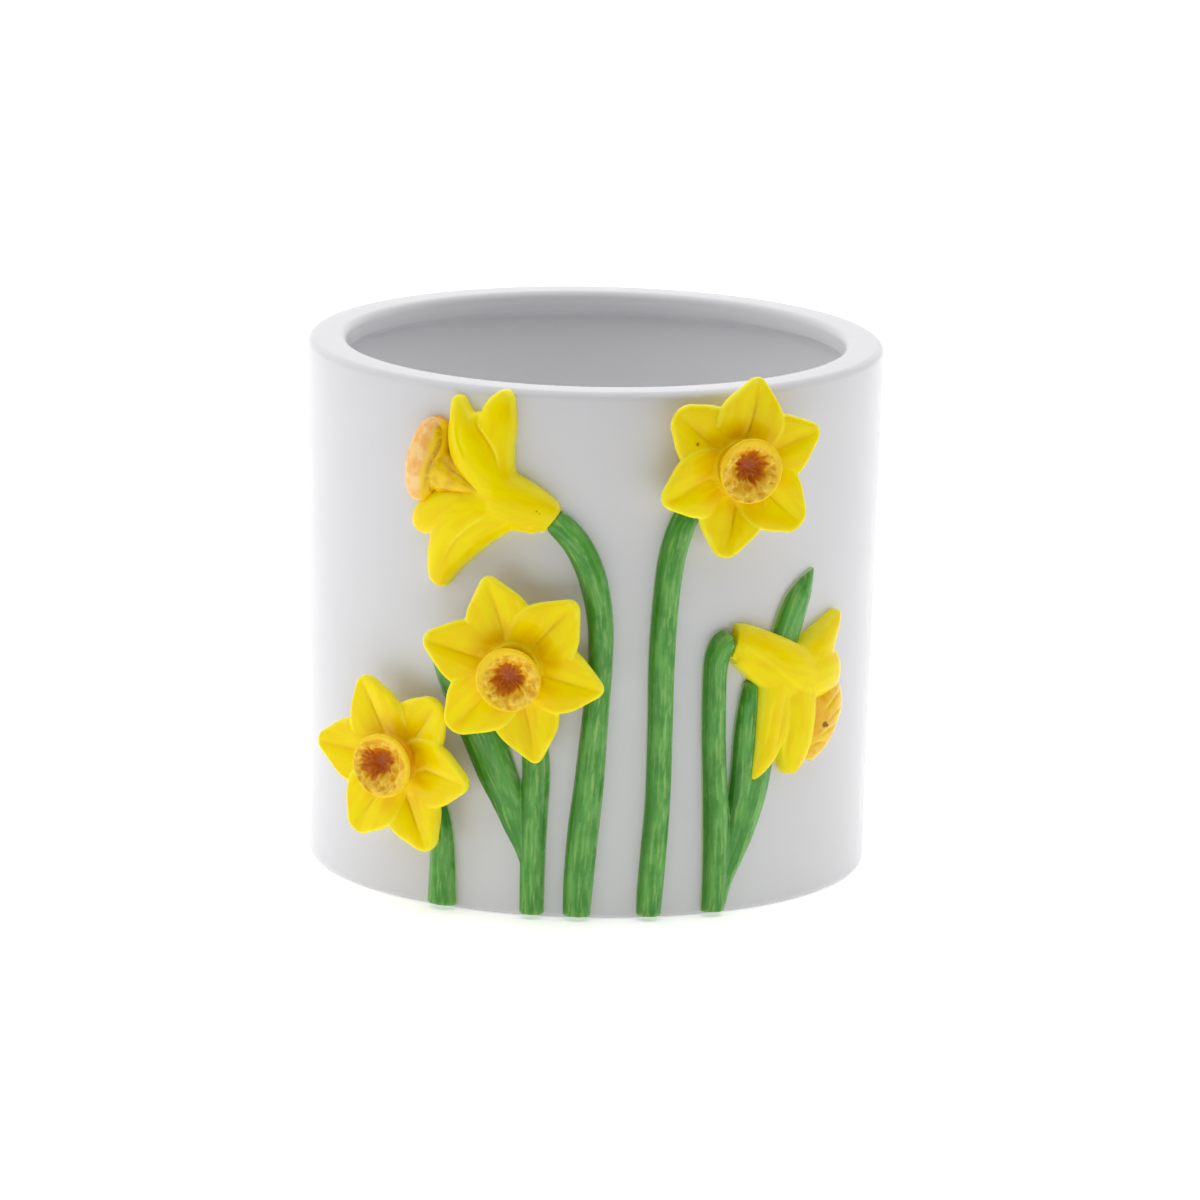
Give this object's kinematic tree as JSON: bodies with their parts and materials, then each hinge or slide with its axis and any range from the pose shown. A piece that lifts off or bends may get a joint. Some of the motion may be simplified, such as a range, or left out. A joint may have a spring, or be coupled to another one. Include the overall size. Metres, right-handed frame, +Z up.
{
  "type": "ceramic planter with relief daffodils",
  "caption": "Round white glazed cover pot with a flat rim and painted daffodils moulded in high relief on its front; takes a nursery pot.",
  "frame": {"origin": "centre of the flat base, on the surface that the pot stands on", "axes": "+Z up along the pot's axis; the front with the daffodils faces -Y; +X to the viewer's right"},
  "size_m": [0.14, 0.153, 0.1325],
  "materials": {
    "white_glaze": "glossy",
    "yellow_glaze": "glossy",
    "orange_glaze": "glossy",
    "green_glaze": "glossy"
  },
  "bodies": {
    "root": {"pot_body": "white_glaze", "stem_a": "green_glaze", "leafy_stem_b": "green_glaze", "stem_c": "green_glaze", "stem_d": "green_glaze", "leafy_stem_e": "green_glaze", "petals_a": "yellow_glaze", "petals_b": "yellow_glaze", "petals_c": "yellow_glaze", "petals_d": "yellow_glaze", "petals_e": "yellow_glaze", "corona_a": "orange_glaze", "corona_b": "orange_glaze", "corona_c": "orange_glaze", "corona_d": "orange_glaze", "corona_e": "orange_glaze"}
  },
  "joints": []
}
